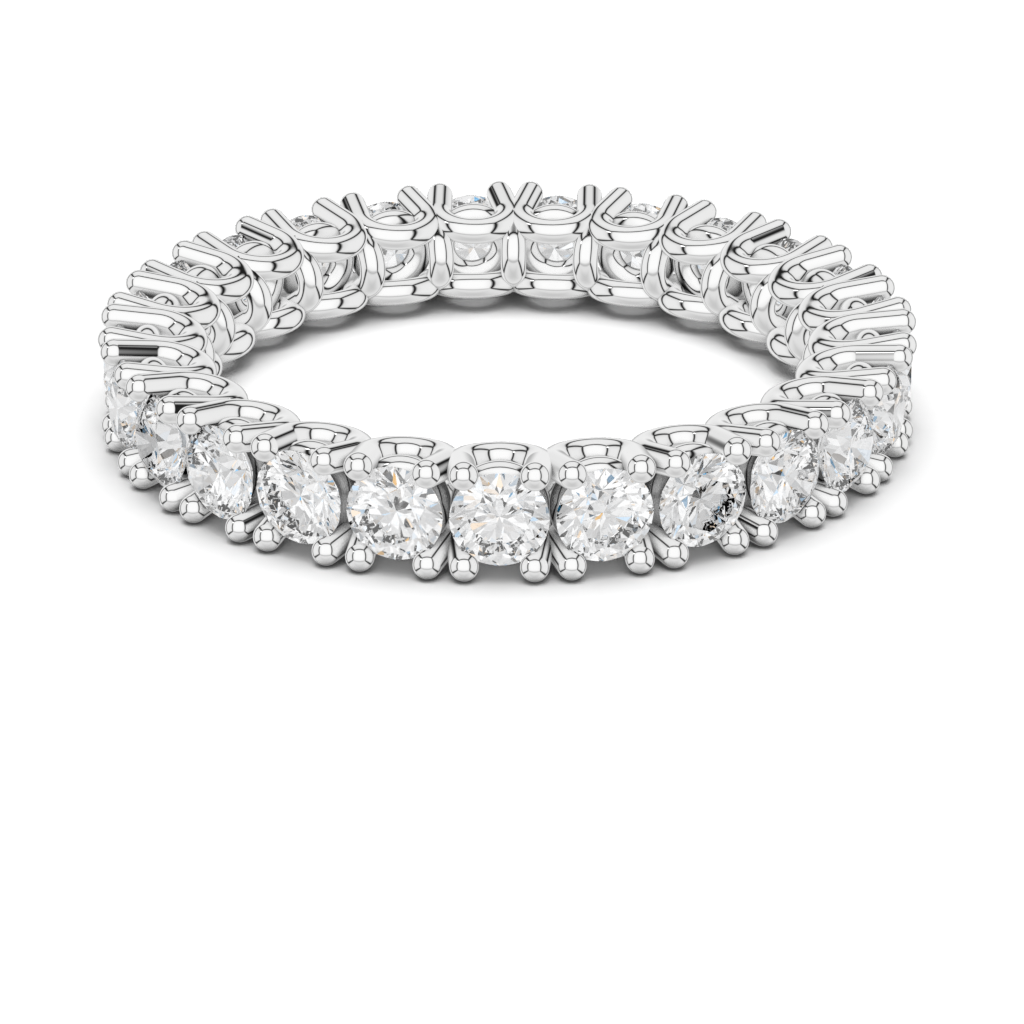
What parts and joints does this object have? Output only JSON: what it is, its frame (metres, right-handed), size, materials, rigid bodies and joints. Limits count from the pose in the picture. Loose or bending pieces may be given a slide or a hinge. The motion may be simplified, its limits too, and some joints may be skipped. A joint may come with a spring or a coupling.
{
  "type": "eternity ring",
  "caption": "Finger ring set all the way round with round brilliant-cut stones, each held by bent wire prongs over an open wire gallery.",
  "frame": {"origin": "centre of the finger opening, on the surface that the ring's lower prongs rest on when it lies on its side", "axes": "+Z along the finger's axis and up as the ring lies; -Y from the axis towards the first setting; +X towards the settings numbered next"},
  "size_m": [0.0226, 0.0226, 0.0032],
  "materials": {
    "white_gold": "mirror-polished white gold",
    "diamond": "polished facets, colourless"
  },
  "bodies": {
    "root": {"setting_band": "white_gold", "stone_01": "diamond", "stone_02": "diamond", "stone_03": "diamond", "stone_04": "diamond", "stone_05": "diamond", "stone_06": "diamond", "stone_07": "diamond", "stone_08": "diamond", "stone_09": "diamond", "stone_10": "diamond", "stone_11": "diamond", "stone_12": "diamond", "stone_13": "diamond", "stone_14": "diamond", "stone_15": "diamond", "stone_16": "diamond", "stone_17": "diamond", "stone_18": "diamond", "stone_19": "diamond", "stone_20": "diamond", "stone_21": "diamond", "stone_22": "diamond", "stone_23": "diamond", "stone_24": "diamond", "stone_25": "diamond"}
  },
  "joints": []
}
